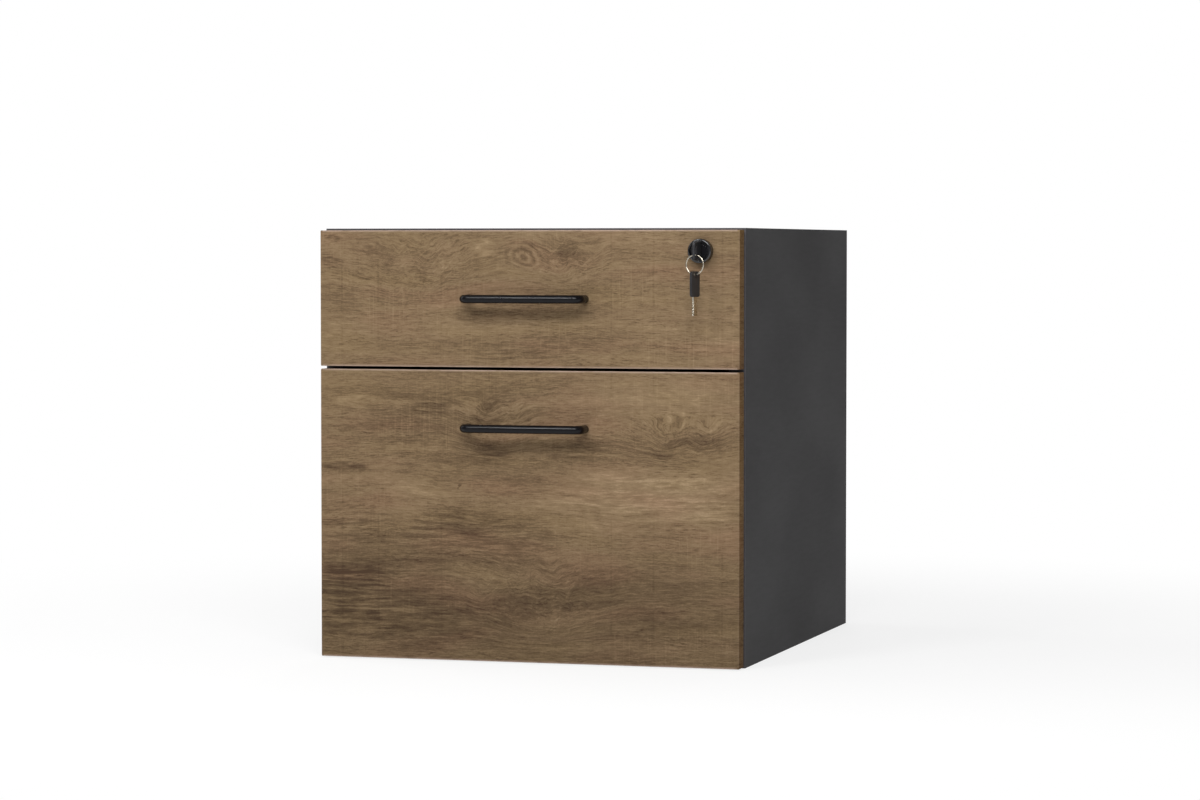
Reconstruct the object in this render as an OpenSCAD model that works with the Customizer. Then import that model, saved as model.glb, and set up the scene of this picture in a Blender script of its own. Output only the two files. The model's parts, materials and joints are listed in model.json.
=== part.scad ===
// Under-desk pedestal with a shallow drawer over a deep filing drawer.
// Millimetres. +X is right seen from the front, the fronts face -Y, +Z is up.
// The origin is the centre of the carcass's underside.

/* [Carcass] */
// Outside width of the carcass
cabinet_w = 465; // [440:1:500]
// Outside height of the carcass
cabinet_h = 460; // [455:1:500]
// Space from the drawer boxes to the carcass's rear face
behind_box = 62; // [56:1:120]
// Thickness of the carcass boards
board_t = 18; // [16:0.5:19]
// Thickness of the edging on the carcass's front edges
edging_t = 1; // [0.4:0.1:2]

/* [Drawer fronts] */
// Thickness of the drawer fronts
front_t = 18; // [16:0.5:22]
// Thickness of the edging round the drawer fronts
front_edging_t = 2; // [1:0.5:3]
// Gap between the fronts and the carcass
front_gap = 3; // [2.5:0.1:4]
// Gap between the two fronts
between_gap = 3; // [2:0.5:5]
// How far each front stays inside the carcass's sides
side_reveal = 1; // [0:0.5:3]
// How far the upper front stays below the carcass's top
top_reveal = 2; // [0:0.5:4]
// How far the lower front stays above the carcass's underside
bottom_reveal = 1; // [0:0.5:4]
// Height of the upper front
upper_front_h = 145; // [140:1:150]

/* [Drawer boxes] */
// Thickness of the drawer sides, fronts and backs
box_t = 12; // [10:0.5:15]
// Thickness of the drawer bottoms
bottom_t = 6; // [4:0.5:8]
// How much longer a drawer box is than its slides
box_over_slide = 25; // [15:1:30]
// Height of the upper box
upper_box_h = 90; // [80:1:92]
// Upper edge of the filing box below the lower front's upper edge
lower_box_down = 22; // [20:1:40]
// Underside of the upper box above the upper front's lower edge
upper_box_up = 7; // [5:0.5:9]
// Underside of the filing box above the carcass's underside
lower_box_z = 26; // [22:1:30]
// Height of the groove for the bottom above a box's underside
groove_z = 10; // [8:0.5:14]
// Depth of the groove for the bottom
groove_depth = 6; // [4:0.5:7]
// Distance between the centres of the two file rails
file_rail_centres = 330; // [320:1:335]
// Height of a file rail
file_rail_h = 15; // [10:1:20]
// Thickness of a file rail
file_rail_t = 2; // [1.5:0.5:3]

/* [Slides] */
// Length of the drawer slides
slide_len = 400; // [390:1:450]
// Height of the outer slide member
slide_h = 45; // [45:1:48]
// Space that a slide takes between carcass and box
slide_space = 12.7; // [12.7:0.1:13.5]
// Thickness of the slide's steel
steel_t = 1.2; // [1:0.05:1.3]
// Radius of the slide's outer balls
outer_ball_r = 1.95; // [1.7:0.05:2]
// Radius of the slide's inner balls
inner_ball_r = 1.9; // [1.7:0.05:2]
// Balls in each row
row_balls = 6; // [4:1:8]
// Spacing of the balls in a row
ball_pitch = 22; // [12:1:24]
// Centre line of the upper slides above the upper box's underside
upper_slide_up = 45; // [40:1:48]
// Centre line of the lower slides above the filing box's underside
lower_slide_up = 74; // [64:1:78]

/* [Handles] */
// Distance between a handle's fixing centres
handle_centres = 128; // [96:32:192]
// Diameter of the handle's bar
handle_bar_d = 9; // [7:0.5:12]
// How far the handle stands out from the front
handle_reach = 28; // [25:1:40]
// Radius of the handle's bends on the bar's centre line
handle_bend_r = 7; // [6:0.5:12]
// Height of the upper handle above the upper front's lower edge
upper_handle_up = 72.5; // [60:0.5:80]
// Depth of the lower handle below the lower front's upper edge
lower_handle_down = 61; // [50:0.5:80]

/* [Lock] */
// Distance of the lock's axis from the front's right edge
lock_from_edge = 41; // [40:0.5:44]
// Depth of the lock's axis below the carcass's top
lock_from_top = 24; // [24:0.5:25]
// Radius of the lock's rosette
rosette_r = 12.7; // [12:0.1:15]
// How far the rosette stands out from the front
rosette_h = 10; // [7:0.5:11]
// Radius of the dish in the rosette that takes the foot of a key's head
dish_r = 10.5; // [10.2:0.1:10.8]
// Depth of the dish in the rosette
dish_depth = 4.5; // [3:0.5:6]
// Radius of the lock's barrel
barrel_r = 9; // [8.5:0.1:10]
// Radius of the plug's face
plug_r = 7; // [6.5:0.1:7.5]
// Offset of the driver's pin from the lock's axis
driver_offset = 7; // [5:0.25:7]
// Radius of the driver's pin
driver_pin_r = 2; // [1.5:0.1:2.5]
// Width of the locking bar
bar_w = 12; // [10:0.5:14]
// Thickness of the locking bar
bar_t = 4; // [3:0.25:5]
// Radius of the locking studs
stud_r = 3; // [2:0.25:3.5]
// Upper stud's axis above the upper slides' centre line with the lock open
upper_stud_up = 26; // [25:0.5:27]
// Lower stud's axis above the lower slides' centre line with the lock open
lower_stud_up = 40; // [35:1:60]

/* [Keys] */
// Length of a key's head
head_len = 26.5; // [24:0.5:30]
// Width of a key's head
head_w = 19; // [19:0.5:22]
// Thickness of a key's head
head_t = 2.6; // [2.2:0.1:2.6]
// Thickness of the narrow webs beside the slot in the head
web_w = 4; // [2.5:0.1:4.2]
// Size of the slot along the head
slot_len = 5.7; // [5.5:0.1:6]
// Thickness of the web at the head's outer end
end_web = 2.1; // [1.8:0.1:3]
// Length of the blade outside the head
blade_len = 19.5; // [16:0.5:20]
// Width of the blade
blade_w = 8.5; // [6:0.5:8.5]
// Thickness of the blade
blade_t = 2; // [1.5:0.1:2.2]
// Mean radius of the key ring
ring_r = 10; // [9:0.5:14]
// Radius of the ring's wire
wire_r = 0.65; // [0.5:0.05:0.7]
// How far the ring's plane is turned from the front's plane
ring_turn = -13; // [-14:1:12]
// How far the spare key's face is turned from the front's plane
spare_turn = 78; // [45:1:90]

/* [Clearances] */
// Clearance round screws, dowels and fittings in their holes
hole_clear = 0.1; // [0.05:0.05:0.2]
// Running clearance of the plug in its barrel
running_fit = 0.05; // [0.03:0.01:0.1]
// Clearance of a panel in its groove
groove_clear = 0.2; // [0.1:0.05:0.3]
// Clearance round the locking bar and its studs
bar_clear = 0.3; // [0.2:0.05:0.5]

/* [Hidden] */
$fn = 48;
inner_w = cabinet_w - 2 * board_t;
x_in = inner_w / 2;
x_out = cabinet_w / 2;
box_len = slide_len + box_over_slide;
carcass_d = box_len + behind_box - front_gap;
y_front = -carcass_d / 2;
y_back = carcass_d / 2;
y_board = y_front + edging_t;
z_top = cabinet_h - board_t;
y_front_back = y_front - front_gap;
y_face = y_front_back - front_t;
front_w = cabinet_w - 2 * side_reveal;
upper_front_z = cabinet_h - top_reveal - upper_front_h;
lower_front_z = bottom_reveal;
lower_front_h = upper_front_z - between_gap - lower_front_z;
upper_box_z = upper_front_z + upper_box_up;
lower_box_h = lower_front_z + lower_front_h - lower_box_down - lower_box_z;
upper_slide_z = upper_box_z + upper_slide_up;
lower_slide_z = lower_box_z + lower_slide_up;
upper_stud_z = upper_slide_z + upper_stud_up;
lower_stud_z = lower_slide_z + lower_stud_up;

cam_r = 7.5;
cam_depth = 13;
cam_inset = 34;
cam_y = [-190, 190];
cam_bolt_r = 3.5;
cam_bolt_in = 11;
dowel_r = 4;
dowel_len = 30;
dowel_in_side = 12;
dowel_y = [-130, 130];
back_dowel_up = 120;
back_dowel_z = [back_dowel_up, cabinet_h - back_dowel_up];
desk_hole_r = 2.5;
desk_hole_x = 120;
desk_hole_y = 180;

box_x = x_in - slide_space;
box_y0 = y_front_back;
box_y1 = box_y0 + box_len;
box_dowel_r = 3;
box_dowel_len = 24;

slide_y0 = box_y1 - slide_len;
outer_flange = 9.5;
ball_play = 0.1;
web_gap = 0.2;
cage_t = 0.4;
cage_len = row_balls * ball_pitch + 8;
middle_u = steel_t + 2 * web_gap + cage_t;
middle_h = slide_h - 2 * steel_t - 4 * (outer_ball_r + ball_play);
inner_h = middle_h - 2 * steel_t - 4 * (inner_ball_r + ball_play);
outer_ball_w = slide_h / 2 - steel_t - outer_ball_r - ball_play;
inner_ball_w = middle_h / 2 - steel_t - inner_ball_r - ball_play;
outer_ball_u = 5.5;
inner_ball_u = 7.5;
middle_flange = slide_space - 2.2;
inner_flange_u = middle_u + steel_t + 2 * web_gap + cage_t + 0.5;
slide_hole_first = 35;
slide_hole_second = 163;
slide_hole_rear = 45;
slide_screw_y = [slide_y0 + slide_hole_first, slide_y0 + slide_hole_second,
                 slide_y0 + slide_len - slide_hole_rear];
outer_screw_len = 14;
inner_screw_len = 10;

screw_r = 2;
screw_head_r = 4;
screw_head_h = 2.2;
handle_screw_bite = 10;
front_screw_bite = 12;
fine_screw_r = 1.5;
fine_head_r = 3;
hole_over = 1.5;
front_screw_x = 150;

lock_x = front_w / 2 - lock_from_edge;
lock_z = cabinet_h - lock_from_top;
plate_t = 2;
plate_half = 15;
plate_screw = 11.5;
plug_step = 6;
shaft_r = plug_r - 1;
driver_y0 = y_front + 0.5;
driver_t = 2.5;
tenon_r = 3;
collar_r = 4.5;
plate_screw_len = 14;
rail_screw_len = 16;
catch_screw_bite = 9;
pin_z = lock_z - driver_offset;
arm_y0 = y_front + 7;
arm_t = 3;
arm_wall = 3;
// A linear rise of the arm runs ahead of the pin's circle by at most this share of the offset.
arm_lead = 0.21 * driver_offset;
slot_play = 0.2;

bar_y = y_front + 14;
bar_x0 = x_in + 0.2;
bar_z0 = lower_stud_z - 12;
bar_z1 = lock_z - driver_offset + 1;
strap_t = 1.2;
strap_h = 12;
strap_screw_r = 1.2;
strap_head_r = 2.2;
strap_screw_len = 12;
strap_screw_in = 3.2;
strap_z = [lower_stud_z + 60, upper_slide_z - 35];
strap_half = bar_w / 2 + 6.7;
stud_reach = 8.5;
catch_clear = 0.5;
catch_h = 12;
catch_half = 12;
catch_t = 7.4;

plug_h = rosette_h - dish_depth;
head_y = y_face - plug_h - 0.3;
slot_w = head_w - 2 * web_w;
slot_a = head_len - end_web - slot_len / 2;
tang = 9;
ring_clear = 0.3;
wire_off = sqrt(pow(web_w / 2, 2) + pow(head_t / 2, 2)) + wire_r + ring_clear;
web_b = -(head_w - web_w) / 2;
ring_y = head_y - slot_a;
ring_z = lock_z + web_b + wire_off - ring_r;
hang_play = 0.5;
spare_slot_z = ring_z - ring_r + wire_r + hang_play - slot_len / 2;
spare_shoulder_z = spare_slot_z - slot_a;

CHARCOAL = [0.22, 0.22, 0.225];
OAK = [0.50, 0.42, 0.33];
BLACK = [0.06, 0.06, 0.065];
ZINC = [0.70, 0.71, 0.72];
BEECH = [0.78, 0.64, 0.46];

// A block given by two opposite corners.
module block(a, b) {
  translate(a) cube(b - a);
}

// A pin with its start at p, running along one axis: "x", "y" or "z", with a sign in len.
module pin(p, dir, r, len) {
  turn = dir == "x" ? [0, 90, 0] : dir == "y" ? [-90, 0, 0] : [0, 0, 0];
  flip = len < 0 ? 180 : 0;
  spin = dir == "y" ? [flip, 0, 0] : [0, flip, 0];
  translate(p) rotate(spin) rotate(turn) cylinder(h = abs(len), r = r);
}

// A countersunk screw along +Z with its flat face at 0; grow widens it into its own hole.
module countersunk(len, r = screw_r, head_r = screw_head_r, grow = 0) {
  depth = head_r - r;
  cylinder(h = depth, r1 = head_r + grow, r2 = r + grow);
  cylinder(h = len + grow, r = r + grow);
}

// A pan-head screw along +Z with its head below 0.
module pan_screw(len, r = screw_r, head_r = screw_head_r, head_h = screw_head_h) {
  translate([0, 0, -head_h]) cylinder(h = head_h, r = head_r);
  cylinder(h = len, r = r);
}

// Both sides of the cabinet: the child and its mirror image.
module both_sides() {
  children();
  mirror([1, 0, 0]) children();
}

// Carcass

module cam_bolt_run(side, grow = 0) {
  for (y = cam_y, z = [board_t / 2, cabinet_h - board_t / 2])
    pin([side * (x_in - cam_inset + cam_r + 0.2), y, z], "x", cam_bolt_r + grow,
        side * (cam_inset - cam_r - 0.2 + cam_bolt_in + grow));
}

module dowel_run(side, grow = 0) {
  for (y = dowel_y, z = [board_t / 2, cabinet_h - board_t / 2])
    pin([side * (x_in + dowel_in_side + grow), y, z], "x", dowel_r + grow,
        -side * (dowel_len + 2 * grow));
  for (z = back_dowel_z)
    pin([side * (x_in + dowel_in_side + grow), y_back - board_t / 2, z], "x", dowel_r + grow,
        -side * (dowel_len + 2 * grow));
}

module cams(grow = 0) {
  for (x = [-1, 1] * (x_in - cam_inset), y = cam_y) {
    translate([x, y, board_t - cam_depth - grow]) cylinder(h = cam_depth + grow, r = cam_r + grow);
    translate([x, y, z_top]) cylinder(h = cam_depth + grow, r = cam_r + grow);
  }
}

module slide_screws_at(z, grow = 0) {
  for (y = slide_screw_y)
    translate([x_in - steel_t, y, z]) rotate([0, 90, 0]) countersunk(outer_screw_len, grow = grow);
}

module side_panel() {
  difference() {
    block([x_in, y_board, 0], [x_out, y_back, cabinet_h]);
    cam_bolt_run(1, hole_clear);
    dowel_run(1, hole_clear);
    for (z = [upper_slide_z, lower_slide_z]) slide_screws_at(z, hole_clear);
  }
}

module side_panel_left() {
  color(CHARCOAL) mirror([1, 0, 0]) side_panel();
}

// The right side has the routed groove that the locking bar runs in.
module side_panel_right() {
  color(CHARCOAL) difference() {
    side_panel();
    block([x_in - 1, bar_y - bar_w / 2 - bar_clear, board_t],
          [bar_x0 + bar_t + bar_clear, bar_y + bar_w / 2 + bar_clear, z_top]);
    bar_guide_screws(hole_clear);
  }
}

module cross_panel(z) {
  difference() {
    block([-x_in, y_board, z], [x_in, y_back, z + board_t]);
    cams(hole_clear);
    for (s = [-1, 1]) {
      cam_bolt_run(s, hole_clear);
      dowel_run(s, hole_clear);
    }
  }
}

// The top has four holes for the screws that hold the pedestal under a desk.
module top_panel() {
  color(CHARCOAL) difference() {
    cross_panel(z_top);
    for (x = [-desk_hole_x, desk_hole_x], y = [-desk_hole_y, desk_hole_y])
      translate([x, y, z_top - 1]) cylinder(h = board_t + 2, r = desk_hole_r);
  }
}

module bottom_panel() {
  color(CHARCOAL) cross_panel(0);
}

module back_panel() {
  color(CHARCOAL) difference() {
    block([-x_in, y_back - board_t, board_t], [x_in, y_back, z_top]);
    for (s = [-1, 1]) dowel_run(s, hole_clear);
  }
}

module carcass_edging() {
  color([0.26, 0.245, 0.255]) {
    both_sides() block([x_in, y_front, 0], [x_out, y_board, cabinet_h]);
    for (z = [0, z_top]) block([-x_in, y_front, z], [x_in, y_board, z + board_t]);
  }
}

// Each cam has a cross slot for the driver in the face that shows inside the carcass.
module cam_fittings() {
  color(ZINC) difference() {
    cams();
    for (x = [-1, 1] * (x_in - cam_inset), y = cam_y, turn = [0, 90], z = [board_t, z_top])
      translate([x, y, z]) rotate([0, 0, turn]) cube([9, 1.4, 4], center = true);
  }
}

module cam_bolts() {
  color(ZINC) for (s = [-1, 1]) cam_bolt_run(s);
}

module carcass_dowels() {
  color(BEECH) for (s = [-1, 1]) dowel_run(s);
}

// Soft buttons in the gap between the carcass's edge and the fronts' backs.
module drawer_bumpers() {
  button_h = front_gap - 0.3;
  color([0.15, 0.15, 0.15]) for (x = [-1, 1] * (x_out - board_t / 2),
      z = [lower_front_z + 24, upper_front_z - between_gap - 20, upper_front_z + 18,
           cabinet_h - 24])
    pin([x, y_front, z], "y", 4, -button_h);
}

// Ball-bearing slides. A section is drawn with u from the carcass side inwards and w upwards.

module slide_at(z, y0, len) {
  translate([x_in, y0, z]) rotate([90, 0, 180]) linear_extrude(len) children();
}

module outer_section() {
  translate([0, -slide_h / 2]) square([steel_t, slide_h]);
  for (w = [-slide_h / 2, slide_h / 2 - steel_t]) translate([0, w]) square([outer_flange, steel_t]);
}

module middle_section() {
  translate([middle_u, -middle_h / 2]) square([steel_t, middle_h]);
  for (w = [-middle_h / 2, middle_h / 2 - steel_t])
    translate([middle_u, w]) square([middle_flange - middle_u, steel_t]);
}

module inner_section() {
  translate([slide_space - steel_t, -inner_h / 2]) square([steel_t, inner_h]);
  for (w = [-inner_h / 2, inner_h / 2 - steel_t])
    translate([inner_flange_u, w]) square([slide_space - inner_flange_u, steel_t]);
}

module outer_member(z) {
  difference() {
    slide_at(z, slide_y0, slide_len) outer_section();
    slide_screws_at(z, hole_clear);
  }
}

module inner_member(z) {
  difference() {
    slide_at(z, slide_y0, slide_len) inner_section();
    inner_screws_at(z, hole_clear);
  }
}

// Two rows of balls in the slots of a thin cage, for the race at w and u from the carcass side.
module ball_cage(z, w, u, r, web_u, reach) {
  mid = slide_y0 + slide_len / 2;
  difference() {
    slide_at(z, mid - cage_len / 2, cage_len) {
      translate([web_u, -w - cage_t / 2]) square([cage_t, 2 * w + cage_t]);
      for (s = [-w, w]) translate([web_u, s - cage_t / 2]) square([reach, cage_t]);
    }
    balls(z, w, u, mid) cylinder(h = 2, r = r + ball_play, center = true);
  }
  balls(z, w, u, mid) sphere(r = r);
}

module balls(z, w, u, mid) {
  for (i = [0 : row_balls - 1], s = [-w, w])
    translate([x_in - u, mid + (i - (row_balls - 1) / 2) * ball_pitch, z + s]) children();
}

module slide_outers_left() {
  color(ZINC) mirror([1, 0, 0]) for (z = [upper_slide_z, lower_slide_z]) outer_member(z);
}

module slide_outers_right() {
  color(ZINC) for (z = [upper_slide_z, lower_slide_z]) outer_member(z);
}

module slide_outer_screws() {
  color(ZINC) both_sides() for (z = [upper_slide_z, lower_slide_z]) slide_screws_at(z);
}

module slide_middles(z) {
  color(ZINC) both_sides() slide_at(z, slide_y0, slide_len) middle_section();
}

module outer_cages(z) {
  color([0.55, 0.56, 0.57]) both_sides()
    ball_cage(z, outer_ball_w, outer_ball_u, outer_ball_r, steel_t + web_gap, 7);
}

module inner_cages(z) {
  color([0.55, 0.56, 0.57]) both_sides()
    ball_cage(z, inner_ball_w, inner_ball_u, inner_ball_r, middle_u + steel_t + 2 * web_gap, 6);
}

module upper_slide_middles() {
  slide_middles(upper_slide_z);
}

module lower_slide_middles() {
  slide_middles(lower_slide_z);
}

module upper_outer_cages() {
  outer_cages(upper_slide_z);
}

module upper_inner_cages() {
  inner_cages(upper_slide_z);
}

module lower_outer_cages() {
  outer_cages(lower_slide_z);
}

module lower_inner_cages() {
  inner_cages(lower_slide_z);
}

// Drawer fronts: a decorated board inside a ring of edging.

module front_board(z, h) {
  e = front_edging_t;
  block([-front_w / 2 + e, y_face, z + e], [front_w / 2 - e, y_front_back, z + h - e]);
}

module front_edging(z, h) {
  e = front_edging_t;
  color(OAK) difference() {
    block([-front_w / 2, y_face, z], [front_w / 2, y_front_back, z + h]);
    block([-front_w / 2 + e, y_face - 1, z + e], [front_w / 2 - e, y_front_back + 1, z + h - e]);
  }
}

module handle_screw_pair(z, grow = 0) {
  for (x = [-1, 1] * handle_centres / 2)
    translate([x, box_y0 + box_t, z]) rotate([90, 0, 0])
      if (grow > 0) translate([0, 0, -1]) 
        cylinder(h = box_t + front_t + handle_screw_bite + hole_over, r = screw_r + grow);
      else pan_screw(box_t + front_t + handle_screw_bite);
}

module front_screws(heights, grow = 0) {
  for (x = [-1, 1] * front_screw_x, z = heights)
    translate([x, box_y0 + box_t, z]) rotate([90, 0, 0])
      if (grow > 0) translate([0, 0, -1]) cylinder(h = box_t + front_screw_bite + hole_over, r = screw_r + grow);
      else pan_screw(box_t + front_screw_bite);
}

upper_handle_z = upper_front_z + upper_handle_up;
lower_handle_z = lower_front_z + lower_front_h - lower_handle_down;
upper_front_screw_z = [upper_box_z + 26, upper_box_z + upper_box_h - 18];
lower_front_screw_z = [lower_box_z + 34, lower_box_z + lower_box_h / 2, lower_box_z + lower_box_h - 38];

module upper_front_board() {
  color(OAK) difference() {
    front_board(upper_front_z, upper_front_h);
    handle_screw_pair(upper_handle_z, hole_clear);
    front_screws(upper_front_screw_z, hole_clear);
    pin([lock_x, y_face - 1, lock_z], "y", barrel_r + 0.2, front_t + 2);
    lock_screw_pair(hole_clear);
  }
}

module upper_front_edging() {
  front_edging(upper_front_z, upper_front_h);
}

module lower_front_board() {
  color(OAK) difference() {
    front_board(lower_front_z, lower_front_h);
    handle_screw_pair(lower_handle_z, hole_clear);
    front_screws(lower_front_screw_z, hole_clear);
  }
}

module lower_front_edging() {
  front_edging(lower_front_z, lower_front_h);
}

// A D handle bent from one round bar: two legs, two bends and the grip.
module handle(z) {
  run = handle_reach - handle_bar_d / 2;
  half = handle_centres / 2;
  color(BLACK) difference() {
    union() {
      both_sides() {
        pin([half, y_face, z], "y", handle_bar_d / 2, -(run - handle_bend_r));
        translate([half - handle_bend_r, y_face - run + handle_bend_r, z]) rotate([0, 0, -90])
          rotate_extrude(angle = 90) translate([handle_bend_r, 0]) circle(r = handle_bar_d / 2);
      }
      pin([-half + handle_bend_r, y_face - run, z], "x", handle_bar_d / 2,
          2 * (half - handle_bend_r));
    }
    handle_screw_pair(z, hole_clear);
  }
}

module upper_handle() {
  handle(upper_handle_z);
}

module lower_handle() {
  handle(lower_handle_z);
}

module upper_handle_screws() {
  color(ZINC) handle_screw_pair(upper_handle_z);
}

module lower_handle_screws() {
  color(ZINC) handle_screw_pair(lower_handle_z);
}

// Drawer boxes: two sides, a front and a back between them, and a bottom in a groove all round.

module bottom_board(z0, grow = 0) {
  block([-box_x + box_t - groove_depth + groove_clear - grow,
         box_y0 + box_t - groove_depth + groove_clear - grow, z0 + groove_z - grow / 2],
        [box_x - box_t + groove_depth - groove_clear + grow,
         box_y1 - box_t + groove_depth - groove_clear + grow, z0 + groove_z + bottom_t + grow / 2]);
}

module box_dowels(z0, h, grow = 0) {
  both_sides() for (y = [box_y0 + box_t / 2, box_y1 - box_t / 2], z = [z0 + 30, z0 + h - 14])
    pin([box_x - box_t / 2 + 3 + grow, y, z], "x", box_dowel_r + grow,
        -(box_dowel_len + 2 * grow));
}

module inner_screws_at(z, grow = 0) {
  for (y = slide_screw_y)
    translate([box_x + steel_t, y, z]) rotate([0, -90, 0]) countersunk(inner_screw_len, grow = grow);
}

module box_side(z0, h, slide_z) {
  difference() {
    block([box_x - box_t, box_y0, z0], [box_x, box_y1, z0 + h]);
    bottom_board(z0, groove_clear);
    box_dowels(z0, h, hole_clear);
    inner_screws_at(slide_z, hole_clear);
  }
}

module box_end(y0, z0, h) {
  difference() {
    block([-box_x + box_t, y0, z0], [box_x - box_t, y0 + box_t, z0 + h]);
    bottom_board(z0, groove_clear);
    box_dowels(z0, h, hole_clear);
  }
}

module upper_side() {
  box_side(upper_box_z, upper_box_h, upper_slide_z);
}

module lower_side() {
  box_side(lower_box_z, lower_box_h, lower_slide_z);
}

module upper_box_left() {
  color(CHARCOAL) mirror([1, 0, 0]) upper_side();
}

module upper_box_right() {
  color(CHARCOAL) difference() {
    upper_side();
    catch_screws(upper_stud_z, hole_clear);
  }
}

module upper_box_front() {
  color(CHARCOAL) difference() {
    box_end(box_y0, upper_box_z, upper_box_h);
    handle_screw_pair(upper_handle_z, hole_clear);
    front_screws(upper_front_screw_z, hole_clear);
  }
}

module upper_box_back() {
  color(CHARCOAL) box_end(box_y1 - box_t, upper_box_z, upper_box_h);
}

module upper_box_bottom() {
  color(CHARCOAL) bottom_board(upper_box_z);
}

module upper_box_dowels() {
  color(BEECH) box_dowels(upper_box_z, upper_box_h);
}

module lower_box_left() {
  color(CHARCOAL) mirror([1, 0, 0]) lower_side();
}

module lower_box_right() {
  color(CHARCOAL) difference() {
    lower_side();
    catch_screws(lower_stud_z, hole_clear);
  }
}

module lower_box_front() {
  color(CHARCOAL) difference() {
    box_end(box_y0, lower_box_z, lower_box_h);
    handle_screw_pair(lower_handle_z, hole_clear);
    front_screws(lower_front_screw_z, hole_clear);
    rail_screws(hole_clear);
  }
}

module lower_box_back() {
  color(CHARCOAL) difference() {
    box_end(box_y1 - box_t, lower_box_z, lower_box_h);
    rail_screws(hole_clear);
  }
}

module lower_box_bottom() {
  color(CHARCOAL) bottom_board(lower_box_z);
}

module lower_box_dowels() {
  color(BEECH) box_dowels(lower_box_z, lower_box_h);
}

module upper_slide_inners() {
  color(ZINC) both_sides() inner_member(upper_slide_z);
}

module lower_slide_inners() {
  color(ZINC) both_sides() inner_member(lower_slide_z);
}

// Screws of one drawer: box to front, slide members to the sides, and the catch.
module upper_fixings() {
  color(ZINC) {
    front_screws(upper_front_screw_z);
    both_sides() inner_screws_at(upper_slide_z);
    catch_screws(upper_stud_z);
    lock_screw_pair();
  }
}

module lower_fixings() {
  color(ZINC) {
    front_screws(lower_front_screw_z);
    both_sides() inner_screws_at(lower_slide_z);
    catch_screws(lower_stud_z);
    rail_screws();
  }
}

// Rails for hanging files, with a tab at each end screwed to the box's upper edges.
rail_top = lower_box_z + lower_box_h + file_rail_t;

module rail_screws(grow = 0) {
  for (x = [-1, 1] * file_rail_centres / 2, y = [box_y0 + box_t / 2, box_y1 - box_t / 2])
    translate([x, y, rail_top]) rotate([180, 0, 0])
      countersunk(rail_screw_len, r = fine_screw_r, head_r = fine_head_r, grow = grow);
}

module file_rails() {
  t = file_rail_t;
  color(ZINC) difference() {
    for (x = [-1, 1] * file_rail_centres / 2) {
      block([x - t / 2, box_y0 + box_t + 0.2, rail_top - file_rail_h],
            [x + t / 2, box_y1 - box_t - 0.2, rail_top]);
      for (y = [box_y0 + 0.5, box_y1 - box_t])
        block([x - 6, y, rail_top - t], [x + 6, y + box_t - 0.5, rail_top]);
      for (y = [box_y0 + box_t - 0.5, box_y1 - box_t - 1])
        block([x - 6, y, rail_top - t], [x + 6, y + 1.5, rail_top]);
    }
    rail_screws(hole_clear);
  }
}

// Lock. The plug turns in the barrel, and its driver lifts the locking bar.

module lock_screw_pair(grow = 0) {
  for (s = [-1, 1])
    translate([lock_x + s * plate_screw, y_front_back + plate_t, lock_z + s * plate_screw])
      rotate([90, 0, 0])
        countersunk(plate_screw_len, r = fine_screw_r, head_r = fine_head_r, grow = grow);
}

module lock_rosette() {
  color(BLACK) translate([lock_x, y_face, lock_z]) rotate([90, 0, 0]) rotate_extrude()
    polygon([[plug_r + 0.3, 0], [rosette_r, 0], [rosette_r, rosette_h - 1], [rosette_r - 1, rosette_h],
             [dish_r + 0.2, rosette_h], [dish_r, plug_h], [plug_r + 0.3, plug_h]]);
}

module lock_housing() {
  color(ZINC) difference() {
    union() {
      pin([lock_x, y_face, lock_z], "y", barrel_r, front_t);
      block([lock_x - plate_half, y_front_back, lock_z - plate_half],
            [lock_x + plate_half, y_front_back + plate_t, lock_z + plate_half]);
    }
    pin([lock_x, y_face - 1, lock_z], "y", plug_r + running_fit, plug_step + 1);
    pin([lock_x, y_face, lock_z], "y", shaft_r + running_fit, front_t + front_gap);
    lock_screw_pair(hole_clear);
  }
}

module lock_plug() {
  color(ZINC) difference() {
    union() {
      pin([lock_x, y_face - plug_h + 0.3, lock_z], "y", plug_r,
          plug_h - 0.3 + plug_step - running_fit);
      pin([lock_x, y_face, lock_z], "y", shaft_r, front_t + plate_t);
      pin([lock_x, y_face, lock_z], "y", collar_r, driver_y0 - y_face);
      pin([lock_x, y_face, lock_z], "y", tenon_r, driver_y0 + driver_t - y_face + 0.5);
    }
    block([lock_x - blade_t / 2 - 0.15, y_face - plug_h - 1, lock_z - blade_w / 2 - 0.2],
          [lock_x + blade_t / 2 + 0.15, head_y + blade_len + 0.5, lock_z + blade_w / 2 + 0.2]);
  }
}

module lock_driver() {
  color(ZINC) difference() {
    union() {
      pin([lock_x, driver_y0, lock_z], "y", collar_r, driver_t);
      pin([lock_x, driver_y0, pin_z], "y", driver_pin_r + 1, driver_t);
      block([lock_x - driver_pin_r - 0.5, driver_y0, pin_z],
            [lock_x + driver_pin_r + 0.5, driver_y0 + driver_t, lock_z]);
      pin([lock_x, driver_y0, pin_z], "y", driver_pin_r, arm_y0 + arm_t + 2.5 - driver_y0);
    }
    pin([lock_x, driver_y0 - 1, lock_z], "y", tenon_r + running_fit, driver_t + 2);
  }
}

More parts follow.
